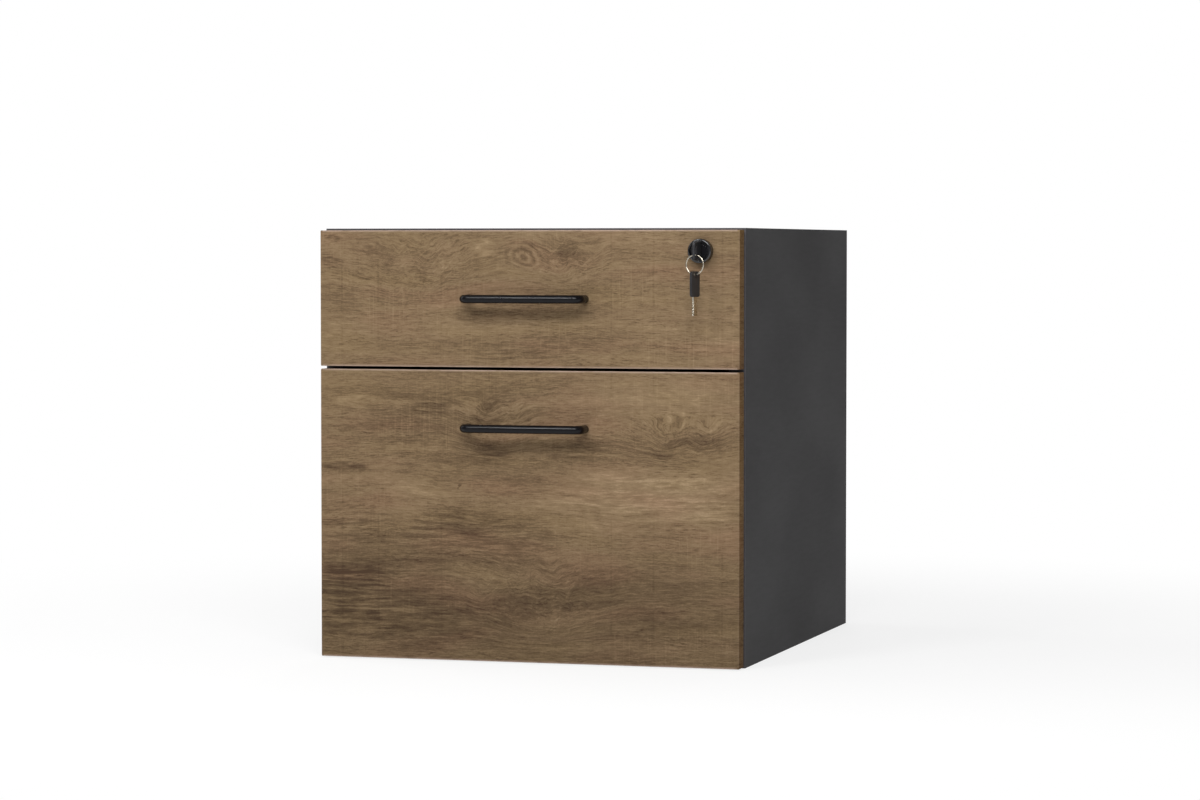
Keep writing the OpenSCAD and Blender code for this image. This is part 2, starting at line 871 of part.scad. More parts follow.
// The bar's arm has a level slot round the driver's pin, deeper below it than above it.
module bar_driver_arm() {
  slot_top = pin_z + driver_pin_r + slot_play;
  slot_low = pin_z - driver_pin_r - arm_lead - slot_play - 0.1;
  slot_x0 = lock_x - driver_pin_r - 0.5;
  color(ZINC) difference() {
    union() {
      block([slot_x0 - arm_wall, arm_y0, slot_low - 4], [x_in, arm_y0 + arm_t, slot_top + arm_wall]);
      block([x_in - strap_t, bar_y - bar_w / 2, slot_low - 13],
            [bar_x0, bar_y + bar_w / 2, slot_top]);
    }
    block([slot_x0, arm_y0 - 1, slot_low],
          [lock_x + driver_offset + driver_pin_r + 0.5, arm_y0 + arm_t + 1, slot_top]);
  }
}

module locking_bar() {
  color([0.62, 0.63, 0.64])
    block([bar_x0, bar_y - bar_w / 2, bar_z0], [bar_x0 + bar_t, bar_y + bar_w / 2, bar_z1]);
}

module bar_studs() {
  color(ZINC) for (z = [upper_stud_z, lower_stud_z]) pin([bar_x0, bar_y, z], "x", stud_r, -stud_reach);
}

module bar_guide_screws(grow = 0) {
  for (z = strap_z, s = [-1, 1])
    translate([x_in - strap_t, bar_y + s * (strap_half - strap_screw_in), z]) rotate([0, 90, 0])
      countersunk(strap_screw_len, r = strap_screw_r, head_r = strap_head_r, grow = grow);
}

// Straps across the groove keep the bar in it.
module bar_guides() {
  color(ZINC) {
    difference() {
      for (z = strap_z)
        block([x_in - strap_t, bar_y - strap_half, z - strap_h / 2],
              [x_in, bar_y + strap_half, z + strap_h / 2]);
      bar_guide_screws(hole_clear);
    }
    bar_guide_screws();
  }
}

// A catch on each drawer's right side. The stud rises into its notch when the lock is turned.
module catch_screws(stud_z, grow = 0) {
  z = stud_z + stud_r + catch_clear + catch_h - 5;
  for (s = [-1, 1])
    translate([box_x + catch_t, bar_y + s * (catch_half - 4), z]) rotate([0, -90, 0])
      countersunk(catch_t + catch_screw_bite, r = fine_screw_r, head_r = fine_head_r, grow = grow);
}

module catch(stud_z) {
  z0 = stud_z + stud_r + catch_clear;
  color(BLACK) difference() {
    block([box_x, bar_y - catch_half, z0], [box_x + catch_t, bar_y + catch_half, z0 + catch_h]);
    block([box_x - 1, bar_y - stud_r - bar_clear, z0 - 1],
          [box_x + catch_t + 1, bar_y + stud_r + bar_clear, z0 + driver_offset + bar_clear]);
    catch_screws(stud_z, hole_clear);
  }
}

module upper_catch() {
  catch(upper_stud_z);
}

module lower_catch() {
  catch(lower_stud_z);
}

// Keys. A key is drawn with its head from 0 to head_len and its blade below 0.

module rounded_rect(len, w, r) {
  translate([0, -w / 2 + r]) square([len, w - 2 * r]);
  translate([r, -w / 2]) square([len - 2 * r, w]);
  for (a = [r, len - r], b = [-w / 2 + r, w / 2 - r]) translate([a, b]) circle(r = r);
}

module head_shape() {
  difference() {
    rounded_rect(head_len, head_w, 3);
    translate([slot_a - slot_len / 2, -slot_w / 2]) square([slot_len, slot_w]);
    translate([-1, -blade_w / 2]) square([tang + 1, blade_w]);
  }
}

// Both edges of the blade are cut with notches of different depths.
module blade_shape() {
  difference() {
    translate([-blade_len, -blade_w / 2]) square([blade_len + tang, blade_w]);
    for (i = [0 : 4], s = [-1, 1])
      translate([-blade_len + 2.6 + i * 3, s * blade_w / 2])
        rotate(45) square(1.1 + 0.35 * ((i * 2 + (s + 1) / 2) % 3), center = true);
  }
}

// The inserted key stands out from the plug with its head upright.
module in_plug(t) {
  translate([lock_x - t / 2, head_y, lock_z]) rotate([90, 0, 90]) mirror([1, 0, 0])
    linear_extrude(t) children();
}

// The spare key hangs from the ring by the web at its head's outer end.
module on_ring(t) {
  translate([lock_x, ring_y, spare_shoulder_z]) rotate([0, 0, spare_turn])
    translate([0, t / 2, 0]) rotate([90, 0, 0]) linear_extrude(t) rotate(90) children();
}

module key_head() {
  color(BLACK) in_plug(head_t) head_shape();
}

module key_blade() {
  color(ZINC) in_plug(blade_t) blade_shape();
}

module key_ring() {
  color(ZINC) translate([lock_x, ring_y, ring_z]) rotate([90, 0, ring_turn])
    rotate_extrude() translate([ring_r, 0]) circle(r = wire_r);
}

module spare_key_head() {
  color(BLACK) on_ring(head_t) head_shape();
}

module spare_key_blade() {
  color(ZINC) on_ring(blade_t) blade_shape();
}

side_panel_left();
side_panel_right();
top_panel();
bottom_panel();
back_panel();
carcass_edging();
cam_fittings();
cam_bolts();
carcass_dowels();
slide_outers_left();
slide_outers_right();
slide_outer_screws();
bar_guides();
drawer_bumpers();
locking_bar();
bar_driver_arm();
bar_studs();
upper_slide_middles();
lower_slide_middles();
upper_outer_cages();
upper_inner_cages();
lower_outer_cages();
lower_inner_cages();
upper_front_board();
upper_front_edging();
upper_box_left();
upper_box_right();
upper_box_front();
upper_box_back();
upper_box_bottom();
upper_box_dowels();
upper_slide_inners();
upper_handle();
upper_handle_screws();
upper_fixings();
upper_catch();
lock_rosette();
lock_housing();
lower_front_board();
lower_front_edging();
lower_box_left();
lower_box_right();
lower_box_front();
lower_box_back();
lower_box_bottom();
lower_box_dowels();
lower_slide_inners();
lower_handle();
lower_handle_screws();
lower_fixings();
lower_catch();
file_rails();
lock_plug();
lock_driver();
key_head();
key_blade();
key_ring();
spare_key_head();
spare_key_blade();
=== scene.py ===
"""Under-desk pedestal: finishes, fine pieces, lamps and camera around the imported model.

The model's own frame in metres: +X right, the fronts face -Y, +Z up. Sizes typed here are in
millimetres unless a name says otherwise.
"""
import json
import math

import bmesh
import bpy
from mathutils import Matrix, Vector

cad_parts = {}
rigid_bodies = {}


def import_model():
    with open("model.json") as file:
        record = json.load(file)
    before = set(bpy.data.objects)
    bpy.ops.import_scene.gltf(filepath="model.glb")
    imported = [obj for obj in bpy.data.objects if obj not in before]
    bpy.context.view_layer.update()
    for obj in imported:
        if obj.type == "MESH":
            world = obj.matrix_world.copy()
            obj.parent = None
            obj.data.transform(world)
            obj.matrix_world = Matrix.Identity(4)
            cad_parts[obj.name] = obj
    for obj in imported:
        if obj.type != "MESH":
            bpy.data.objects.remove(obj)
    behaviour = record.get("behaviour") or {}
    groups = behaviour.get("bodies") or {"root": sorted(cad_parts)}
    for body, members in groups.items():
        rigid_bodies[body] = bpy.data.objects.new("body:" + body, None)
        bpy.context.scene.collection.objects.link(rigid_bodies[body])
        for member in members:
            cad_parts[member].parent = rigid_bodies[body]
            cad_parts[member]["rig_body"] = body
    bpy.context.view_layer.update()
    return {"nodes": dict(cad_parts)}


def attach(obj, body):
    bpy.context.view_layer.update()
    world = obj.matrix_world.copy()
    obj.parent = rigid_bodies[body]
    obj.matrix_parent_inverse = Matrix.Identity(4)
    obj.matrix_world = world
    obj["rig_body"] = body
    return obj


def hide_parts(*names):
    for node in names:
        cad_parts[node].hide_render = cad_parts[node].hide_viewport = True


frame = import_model()
cad = frame["nodes"]

MM = 0.001
QUARTER = math.pi / 2
# Corners nearer to each other than this are one, in a new piece and in a copy of a CAD node
WELD = 0.001
COPY_WELD = 0.002
# Slack for picking parts of a mesh by their place
NEAR = 0.1
LEVEL = 0.001
# Edges that turn by more degrees than this are broken and shaded sharp
SHARP = 32


# Modelling by hand

def clear():
    bpy.ops.object.select_all(action="DESELECT")


def take(piece):
    """Selects one piece alone."""
    clear()
    bpy.context.view_layer.objects.active = piece
    piece.select_set(True)


def settle(piece):
    """Puts the piece's place, turn and scale into its mesh."""
    take(piece)
    bpy.ops.object.transform_apply(location=True, rotation=True, scale=True)


def added(name):
    """Names the primitive just added and settles it."""
    piece = bpy.context.object
    piece.name = name
    piece.data.name = name
    settle(piece)
    return piece


def block(name, low, high):
    clear()
    low = Vector(low) * MM
    high = Vector(high) * MM
    bpy.ops.mesh.primitive_cube_add(size=1, location=(low + high) / 2, scale=high - low)
    return added(name)


def rod(name, centre, radius, length, turn, sides):
    clear()
    bpy.ops.mesh.primitive_cylinder_add(vertices=sides, radius=radius * MM, depth=length * MM,
                                        location=Vector(centre) * MM, rotation=turn)
    return added(name)


def wire_loop(name, centre, radius, turn, sides):
    """A circle of edges, the start of a bent bar or a coil."""
    clear()
    bpy.ops.mesh.primitive_circle_add(vertices=sides, radius=radius * MM, fill_type="NOTHING",
                                      location=Vector(centre) * MM, rotation=turn)
    return added(name)


def open_up(piece):
    take(piece)
    bpy.ops.object.mode_set(mode="EDIT")
    bpy.ops.mesh.select_all(action="DESELECT")


def close_up():
    bpy.ops.object.mode_set(mode="OBJECT")


def pick(piece, kind, test):
    """Selects the faces, edges or verts of the open piece that pass the test."""
    bpy.ops.mesh.select_mode(type={"faces": "FACE", "edges": "EDGE", "verts": "VERT"}[kind])
    bpy.ops.mesh.select_all(action="DESELECT")
    mesh = bmesh.from_edit_mesh(piece.data)
    for part in getattr(mesh, kind):
        if test(part):
            part.select_set(True)
    bmesh.update_edit_mesh(piece.data)


def front_or_back(face):
    return abs(face.normal.y) > 0.9


def join_flat(angle):
    """Joins the faces of the open piece that are level with each other within the angle."""
    bpy.ops.mesh.select_all(action="SELECT")
    bpy.ops.mesh.dissolve_limited(angle_limit=math.radians(angle))


def push(x=0, y=0):
    bpy.ops.mesh.extrude_region_move(TRANSFORM_OT_translate={"value": (x * MM, y * MM, 0)})


def shift(y=0, z=0):
    bpy.ops.transform.translate(value=(0, y * MM, z * MM))


def inset(width):
    bpy.ops.mesh.inset(thickness=width * MM, use_even_offset=True)


def bevel(width, steps):
    bpy.ops.mesh.bevel(offset=width * MM, segments=steps, profile=0.5, affect="EDGES")


def soften(piece, width, steps=2, angle=SHARP):
    """Breaks every edge sharper than the angle, then shades it round and the faces flat."""
    take(piece)
    edge = piece.modifiers.new("Edge", "BEVEL")
    edge.width = width * MM
    edge.segments = steps
    edge.limit_method = "ANGLE"
    edge.angle_limit = math.radians(angle)
    bpy.ops.object.modifier_apply(modifier=edge.name)
    smooth(piece)
    flat = piece.modifiers.new("Flat faces stay flat", "WEIGHTED_NORMAL")
    flat.keep_sharp = True
    bpy.ops.object.modifier_apply(modifier=flat.name)


def smooth(piece, angle=SHARP):
    take(piece)
    bpy.ops.object.shade_smooth_by_angle(angle=math.radians(angle))


def mend_normals(piece):
    open_up(piece)
    bpy.ops.mesh.select_all(action="SELECT")
    bpy.ops.mesh.remove_doubles(threshold=WELD * MM)
    bpy.ops.mesh.normals_make_consistent(inside=False)
    close_up()


def traced(node, name, width):
    """A copy of a CAD node with merged corners, flat faces joined and its edges broken."""
    piece = cad[node].copy()
    piece.data = cad[node].data.copy()
    for key in [key for key in piece.keys() if key.startswith("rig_")]:
        del piece[key]
    piece.parent = None
    piece.name = name
    piece.data.name = name
    bpy.context.scene.collection.objects.link(piece)
    open_up(piece)
    bpy.ops.mesh.select_all(action="SELECT")
    bpy.ops.mesh.remove_doubles(threshold=COPY_WELD * MM)
    join_flat(1)
    close_up()
    soften(piece, width)
    return piece


def fit(piece, body, finish, node):
    """Gives the piece its finish and body, and hides the CAD node that it stands for."""
    piece.data.materials.clear()
    piece.data.materials.append(finish)
    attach(piece, body)
    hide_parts(node)


# Finishes

def paint(red, green, blue):
    """A colour written in 0-255 as the shader wants it."""
    def straight(value):
        value /= 255
        return value / 12.92 if value <= 0.04045 else ((value + 0.055) / 1.055) ** 2.4
    return (straight(red), straight(green), straight(blue), 1.0)


def new_finish(name, colour, roughness, metal=0.0, shine=0.5):
    made = bpy.data.materials.new(name)
    made.use_nodes = True
    shader = made.node_tree.nodes["Principled BSDF"]
    shader.inputs["Base Color"].default_value = paint(*colour)
    shader.inputs["Roughness"].default_value = roughness
    shader.inputs["Metallic"].default_value = metal
    shader.inputs["Specular IOR Level"].default_value = shine
    return made, made.node_tree, shader


def put(tree, kind, settings=None, **sockets):
    """Adds a node, then fills its sockets by name or joins them to another node's output."""
    made = tree.nodes.new("ShaderNode" + kind)
    for key, value in (settings or {}).items():
        setattr(made, key, value)
    for key, value in sockets.items():
        socket = made.inputs[int(key[2:])] if key.startswith("at") else made.inputs[key]
        if isinstance(value, bpy.types.NodeSocket):
            tree.links.new(value, socket)
        else:
            socket.default_value = value
    return made


def join(tree, output, shader, socket):
    tree.links.new(output, shader.inputs[socket])


def object_place(tree):
    return put(tree, "TexCoord").outputs["Object"]


def stretched(tree, place, size, offset=(0, 0, 0)):
    return put(tree, "VectorMath", {"operation": "MULTIPLY_ADD"},
               at0=place, at1=size, at2=offset).outputs[0]


def noise(tree, place, size, detail=2.0, rough=0.5, bend=0.0, offset=(0, 0, 0)):
    return put(tree, "TexNoise", Vector=stretched(tree, place, size, offset), Scale=1.0,
               Detail=detail, Roughness=rough, Distortion=bend).outputs[0]


def calc(tree, kind, first, second=0.0, third=0.0):
    return put(tree, "Math", {"operation": kind}, at0=first, at1=second, at2=third).outputs[0]


def combined(tree, kind, values):
    """One value out of several, taken together two by two."""
    total, *others = values
    for value in others:
        total = calc(tree, kind, total, value)
    return total


def graded(tree, value, low, high, start=0.0, end=1.0):
    """Turns the range low..high of a value smoothly into start..end."""
    return put(tree, "MapRange", {"interpolation_type": "SMOOTHSTEP"}, Value=value,
               at1=low, at2=high, at3=start, at4=end).outputs[0]


def stained(tree, value, *stops):
    """A colour ramp: each stop is a position and a colour in 0-255."""
    ramp = put(tree, "ValToRGB", Fac=value)
    band = ramp.color_ramp
    while len(band.elements) < len(stops):
        band.elements.new(0.5)
    for element, (position, colour) in zip(band.elements, stops):
        element.position = position
        element.color = paint(*colour)
    return ramp.outputs[0]


def layered(tree, kind, amount, under, over):
    return put(tree, "Mix", {"data_type": "RGBA", "blend_type": kind},
               at0=amount, at6=under, at7=over).outputs[2]


def bumped(tree, shader, height, depth, strength=0.5):
    """Bump with its depth in millimetres."""
    bump = put(tree, "Bump", Height=height, Distance=depth * MM, Strength=strength)
    join(tree, bump.outputs[0], shader, "Normal")


# Decor on the two fronts. Lighter and darker patches, each as middle x and z, half width, half
# height and how much lighter or darker it is. Most are figure in the wood; the dark one at
# (90, 226), just below the lower handle, is painted shadow of that handle.
FIGURE_AND_SHADOW = [
    (110, 182, 190, 40, 0.42), (-150, 178, 110, 30, 0.2), (-150, 55, 150, 62, -0.42),
    (60, 40, 240, 66, -0.16), (170, 290, 90, 30, 0.2), (-205, 372, 60, 50, 0.14),
    (170, 345, 100, 40, 0.1), (90, 372, 60, 60, 0.04), (-200, 152, 70, 34, -0.18),
    (-30, 133, 90, 34, -0.22), (-228, 60, 22, 30, -0.2), (132, 49, 130, 24, 0.12),
    # (90, 226) is painted shadow below the lower handle
    (195, 156, 50, 18, 0.12), (90, 226, 90, 18, -0.34), (-90, 262, 130, 26, -0.12),
    (-200, 180, 60, 50, -0.12), (-90, 140, 70, 30, -0.14), (-200, 70, 60, 40, -0.14),
    (-60, 322, 160, 16, -0.16), (20, 372, 120, 16, -0.2), (60, 190, 60, 18, -0.12),
    (-219, 427, 17, 7.5, -0.5), (-215, 450, 14, 3.7, -0.4), (-115, 425, 14, 21.4, -0.24),
    (-96, 427, 3, 20.3, 0.2), (-154, 423, 9, 8.6, -0.18), (-45, 434, 13, 21.4, 0.26),
    (44, 434, 14, 17.1, -0.3), (48, 429, 4, 10.7, 0.2), (4, 442, 7, 6.4, -0.35),
    (224, 425, 11, 12.8, -0.2), (-205, 384, 18, 27.8, -0.12), (80, 348, 67, 15.0, -0.1),
    (-188, 275, 37, 10.7, 0.36), (-176, 274, 17, 5.4, -0.4), (-141, 276, 16, 2.8, 0.4),
    (-109, 269, 27, 10.7, -0.34), (-66, 270, 16, 12.8, 0.3), (-49, 266, 8, 10.7, -0.35),
    (-202, 205, 40, 5.4, -0.5), (-129, 208, 16, 6.4, -0.35), (-39, 220, 29, 12.8, -0.35),
    (183, 234, 56, 15.0, -0.35), (-76, 186, 3, 3.4, -0.6), (14, 194, 4, 3.2, -0.5),
    (-194, 91, 42, 9.6, -0.5), (-214, 52, 29, 8.6, -0.4), (-165, 65, 13, 3.2, -0.6),
    (-171, 46, 11, 5.4, -0.5), (-170, 33, 9, 2.7, -0.45), (-183, 16, 49, 9.6, 0.18),
    (124, 70, 133, 42.8, -0.15), (14, 67, 44, 21.4, -0.12), (-100, 262, 190, 60, -0.16),
    (-110, 130, 170, 50, -0.22), (155, 216, 40, 16, -0.3), (4, 190, 40, 16, -0.25),
    (-172, 430, 60, 30, -0.18), (55, 440, 80, 12, -0.2), (-46, 366, 40, 16, -0.25),
    (0, 342, 230, 14, -0.12), (-10, 324, 60, 8, -0.18), (185, 22, 70, 22, 0.3),
    (205, 150, 40, 30, 0.15), (205, 335, 34, 22, 0.16), (5, 402, 90, 20, 0.15),
    (-70, 75, 60, 24, 0.14), (-190, 78, 36, 16, -0.2), (-10, 200, 110, 40, -0.12),
]
# Knots that the grain runs round: middle x and z, half width, half height, how far they push
# the grain apart and how strong their rings are.
KNOTS = [
    (-3, 435.5, 34, 23, 0.72, 0.52), (36, 440, 15, 15, 0.5, 0.12), (58, 444, 18, 16, 0.4, 0.0),
    (-176, 274, 40, 14.0, 0.55, 0.12), (14, 62, 90, 42.0, 0.6, 0.0),
    (-115, 425, 26, 26.0, 0.5, 0.0), (178, 229, 67, 26.0, 0.45, 0.0),
]
# Where the grain is wild and light flecks cross it: middle x and z, half width, half height.
WILD = [(-120, 415, 105, 48), (45, 425, 62, 36), (10, 70, 110, 60), (-40, 250, 60, 40),
        (170, 240, 80, 30)]
# Upright saw marks: where each long one is, and the patches that are full of short ones.
SAW_LINES = [-207, -166, -95, 93, 139, 213]
SAW_PATCHES = [(67, 132, 30, 32), (180, 135, 48, 34), (102, 396, 90, 50), (-150, 372, 80, 40),
               (-110, 250, 90, 36), (36, 345, 60, 26), (190, 330, 60, 30)]


def round_patch(tree, place, x, z, wide, high):
    """Distance from a patch's middle, 1 at its rim."""
    scale = (1 / (wide * MM), 0, 1 / (high * MM))
    middle = (-x / wide, 0, -z / high)
    return put(tree, "VectorMath", {"operation": "LENGTH"},
               at0=stretched(tree, place, scale, middle)).outputs["Value"]


def crack_lines(tree, value, width):
    """Thin lines where a noise crosses its middle."""
    off = calc(tree, "ABSOLUTE", calc(tree, "ADD", value, -0.5))
    return graded(tree, off, 0.0, width, 1.0, 0.0)


def parted_grain(tree, place, ripple, wild):
    """Bends the grain slowly and opens it round the knots. Returns it and the knots' rings."""
    sway = noise(tree, place, (2.6, 3.0, 6.0), detail=2, offset=(3, 0, 1))
    eddy = noise(tree, place, (38, 20, 34), detail=2, rough=0.45, offset=(4, 4, 4))
    lift = calc(tree, "MULTIPLY_ADD", sway, 0.03, -0.015)
    lift = calc(tree, "MULTIPLY_ADD", ripple, 0.005, lift)
    lift = calc(tree, "MULTIPLY_ADD", calc(tree, "MULTIPLY", eddy, wild), 0.022, lift)
    grain = put(tree, "VectorMath", {"operation": "ADD"}, at0=place,
                at1=put(tree, "CombineXYZ", Z=lift).outputs[0]).outputs[0]
    rings = []
    for x, z, wide, high, push_apart, strength in KNOTS:
        away = round_patch(tree, grain, x, z, wide, high)
        near = graded(tree, away, 0.0, 1.0, 1.0, 0.0)
        offset = stretched(tree, grain, (0, 0, 1), (0, 0, -z * MM))
        pulled = put(tree, "VectorMath", {"operation": "SCALE"}, at0=offset,
                     Scale=calc(tree, "MULTIPLY", near, push_apart)).outputs[0]
        grain = put(tree, "VectorMath", {"operation": "SUBTRACT"},
                    at0=grain, at1=pulled).outputs[0]
        if strength:
            wave = calc(tree, "MULTIPLY_ADD", away, 24.0, calc(tree, "MULTIPLY", ripple, 8.0))
            ring = calc(tree, "MULTIPLY", calc(tree, "SINE", wave), near)
            rings.append(calc(tree, "MULTIPLY", ring, strength))
    return grain, combined(tree, "ADD", rings)


def slanted_flecks(tree, place, wild):
    """Light flecks that cross the grain at a slant, in some places only."""
    slanted = put(tree, "VectorRotate", {"rotation_type": "Y_AXIS"}, Vector=place,
                  Angle=math.radians(42)).outputs[0]
    flecks = graded(tree, noise(tree, slanted, (80, 60, 420), detail=2, bend=0.4), 0.55, 0.68)
    where = graded(tree, noise(tree, place, (17, 9, 26), detail=2, offset=(6, 0, 1)), 0.42, 0.6)
    return calc(tree, "MULTIPLY", flecks, calc(tree, "MULTIPLY", where, wild))


def saw_marks(tree, place, along):
    """Upright saw marks: many short ones in patches, and a few long broken ones."""
    across = noise(tree, place, (430, 30, 17), detail=2, rough=0.6, offset=(0, 3, 9))
    scattered = noise(tree, place, (9, 6, 12), detail=2, offset=(1, 2, 5))
    sawn = [graded(tree, scattered, 0.46, 0.62, 0.15, 0.7)]
    for patch in SAW_PATCHES:
        sawn.append(graded(tree, round_patch(tree, place, *patch), 0.2, 1.0, 0.55, 0.0))
    short = calc(tree, "MULTIPLY", graded(tree, across, 0.5, 0.72),
                 combined(tree, "ADD", sawn))
    lines = []
    for x in SAW_LINES:
        off = calc(tree, "ABSOLUTE", calc(tree, "ADD", along, -x * MM))
        lines.append(graded(tree, off, 0.0004, 0.0016, 1.0, 0.0))
    broken = graded(tree, noise(tree, place, (3, 3, 34), detail=2, offset=(0, 0, 2)), 0.42, 0.6)
    return short, calc(tree, "MULTIPLY", combined(tree, "ADD", lines), broken)


def figure_and_shadow(tree, place, grain):
    """Figure patches and a painted handle shadow, with ragged rims, made streaky along the grain.
    """
    ragged = put(tree, "TexNoise", Vector=stretched(tree, place, (60, 60, 120)), Scale=1.0,
                 Detail=3.0, Roughness=0.6).outputs["Color"]
    ragged = stretched(tree, ragged, (0.022, 0.0, 0.010), (-0.011, 0.0, -0.005))
    ragged = put(tree, "VectorMath", {"operation": "ADD"}, at0=place, at1=ragged).outputs[0]
    patches = []
    for x, z, wide, high, amount in FIGURE_AND_SHADOW:
        patch = round_patch(tree, ragged, x, z, wide, high)
        patches.append(graded(tree, patch, 0.25, 1.15, amount * 0.5, 0.0))
    streaky = noise(tree, grain, (20, 30, 250), detail=3, rough=0.62, bend=0.25, offset=(4, 2, 8))
    streaky = graded(tree, streaky, 0.34, 0.66, 0.25, 1.75)
    return calc(tree, "MULTIPLY", combined(tree, "ADD", patches), streaky)


def pale_arris_and_side_shade(tree, place, along, colour):
    """Arris paled by wear and painted highlight; narrow sides darker and browner as painted shade.
    """
    turned = put(tree, "SeparateXYZ", Vector=put(tree, "TexCoord").outputs["Normal"]).outputs
    facing = calc(tree, "ABSOLUTE", turned[1])
    sideways = calc(tree, "ABSOLUTE", turned[0])
    at_side = graded(tree, calc(tree, "ABSOLUTE", along), 0.2285, 0.2295)
    # Painted highlight, partly wear: the rounded arris, half turned to the front, is made paler
    wear_and_highlight = calc(tree, "MULTIPLY", graded(tree, facing, 0.15, 0.5),
                graded(tree, facing, 0.93, 0.995, 1.0, 0.3))
    wear_and_highlight = calc(tree, "MULTIPLY", wear_and_highlight, graded(tree, at_side, 0.0, 1.0, 1.0, 0.12))
    scuffs = noise(tree, place, (90, 90, 90), detail=2)
    wear_and_highlight = calc(tree, "MULTIPLY", wear_and_highlight, graded(tree, scuffs, 0.25, 0.55, 0.6, 1.0))
    colour = layered(tree, "MIX", wear_and_highlight, colour, paint(170, 149, 134))
    # Painted shade: faces that turn sideways are made darker and browner
    return layered(tree, "MULTIPLY", graded(tree, sideways, 0.6, 0.98), colour,
                   paint(238, 224, 202))


def oak(name, shine, arris=False):
    """Brown rough-sawn oak decor: level grain, knots, flecks and upright saw marks."""
    made, tree, shader = new_finish(name, (134, 111, 86), 0.6, shine=shine)
    place = object_place(tree)
    along, _, height = put(tree, "SeparateXYZ", Vector=place).outputs
    wild = combined(tree, "MAXIMUM", [
        graded(tree, round_patch(tree, place, *patch), 0.25, 1.0, 1.0, 0.0) for patch in WILD])
    ripple = noise(tree, place, (16, 8, 22), detail=2, offset=(1, 5, 2))
    grain, rings = parted_grain(tree, place, ripple, wild)

    broad = noise(tree, grain, (4, 6, 17), detail=3, offset=(2, 0, 4))
    bands = noise(tree, grain, (7, 9, 90), detail=4, rough=0.6, offset=(0, 2, 7))
    fibres = noise(tree, grain, (84, 60, 640), detail=4, rough=0.7, bend=0.2)
    pores = noise(tree, grain, (125, 120, 950), detail=2, rough=0.6, offset=(5, 1, 0))
    loud = graded(tree, noise(tree, grain, (13, 13, 55), detail=2, offset=(8, 1, 3)), 0.4, 0.62)
    dashes = calc(tree, "MULTIPLY", graded(tree, pores, 0.55, 0.67), loud)

    # Hair cracks along the grain, and tangled ones where it is wild
    hairs = crack_lines(tree, noise(tree, grain, (34, 40, 260), 3, 0.62, 0.4, (7, 3, 2)), 0.03)
    hairs = calc(tree, "MULTIPLY", hairs, graded(tree, bands, 0.4, 0.6, 1.0, 0.25))
    pale_hairs = crack_lines(tree, noise(tree, grain, (30, 40, 300), 3, 0.6, 0.4, (2, 8, 5)), 0.03)
    tangled = crack_lines(tree, noise(tree, place, (62, 40, 105), 3, 0.6, 1.1, (3, 3, 8)), 0.035)
    tangled = calc(tree, "MULTIPLY", tangled, wild)
    speckle = noise(tree, place, (420, 300, 620), detail=2, rough=0.7, offset=(6, 6, 2))
    flecks = slanted_flecks(tree, place, wild)
    marks, lines = saw_marks(tree, place, along)

    # Each layer with its weight. Those that swing about a half lose half their weight again.
    shade = calc(tree, "MULTIPLY_ADD", broad, 0.45, 0.5 - 0.45 / 2)
    shade = calc(tree, "ADD", shade, figure_and_shadow(tree, place, grain))
    for layer, weight, base in (
            (bands, 0.5, -0.25), (fibres, 0.98, -0.49), (rings, 0.3, 0.0), (flecks, 0.17, 0.0),
            (dashes, -0.22, 0.0), (hairs, -0.12, 0.0), (pale_hairs, 0.1, 0.0),
            (tangled, -0.14, 0.0), (speckle, 0.3, -0.15), (marks, 0.14, 0.0),
            (lines, -0.07, 0.0)):
        shade = calc(tree, "ADD", shade, calc(tree, "MULTIPLY_ADD", layer, weight, base))

    colour = stained(tree, shade, (0.0, (88, 69, 51)), (0.3, (116, 95, 71)),
                     (0.5, (138, 115, 87)), (0.72, (155, 131, 101)), (1.0, (180, 156, 125)))
    warm = noise(tree, grain, (7, 7, 30), detail=2, offset=(9, 9, 1))
    tint = stained(tree, warm, (0.32, (130, 130, 120)), (0.5, (129, 128, 125)),
                   (0.68, (136, 125, 127)))
    colour = layered(tree, "OVERLAY", 0.55, colour, tint)
    # Painted shade: the colour darkens below 160 mm, as light falls off towards the floor
    painted_falloff = graded(tree, height, 0.06, 0.16, 0.84, 1.0)
    falloff_shade = put(tree, "CombineColor", Red=painted_falloff, Green=painted_falloff, Blue=painted_falloff).outputs[0]
    colour = layered(tree, "MULTIPLY", 1.0, colour, falloff_shade)
    if arris:
        colour = pale_arris_and_side_shade(tree, place, along, colour)
    join(tree, colour, shader, "Base Color")

    matt = calc(tree, "MULTIPLY_ADD", fibres, -0.3, 0.78)
    join(tree, calc(tree, "MULTIPLY_ADD", dashes, 0.12, matt), shader, "Roughness")
    relief = calc(tree, "MULTIPLY_ADD", dashes, -0.6, calc(tree, "MULTIPLY", fibres, 0.8))
    relief = calc(tree, "MULTIPLY_ADD", marks, 0.5, relief)
    bumped(tree, shader, relief, 0.12, 0.7)
    return made


def melamine(name, colour, shine):
    """Matt melamine: a fine pearl in the sheet, faint handling marks and slow cloudiness."""
    made, tree, shader = new_finish(name, colour, 0.58, shine=shine)
    place = object_place(tree)
    pearl = noise(tree, place, (900, 900, 900), detail=2, rough=0.6)
    cloud = noise(tree, place, (5, 4, 7), detail=3, offset=(1, 4, 2))
    streak = noise(tree, place, (40, 30, 240), detail=3, rough=0.6, offset=(2, 0, 6))
    shade = calc(tree, "MULTIPLY", cloud, 0.3)
    shade = calc(tree, "MULTIPLY_ADD", pearl, 0.4, shade)
    shade = calc(tree, "MULTIPLY_ADD", streak, 0.3, shade)
    dark = tuple(value * 0.9 for value in colour)
    light = tuple(value * 1.1 for value in colour)
    join(tree, stained(tree, shade, (0.3, dark), (0.7, light)), shader, "Base Color")
    join(tree, graded(tree, cloud, 0.3, 0.7, 0.55, 0.62), shader, "Roughness")
    bumped(tree, shader, calc(tree, "MULTIPLY_ADD", streak, 0.5, pearl), 0.05)
    return made


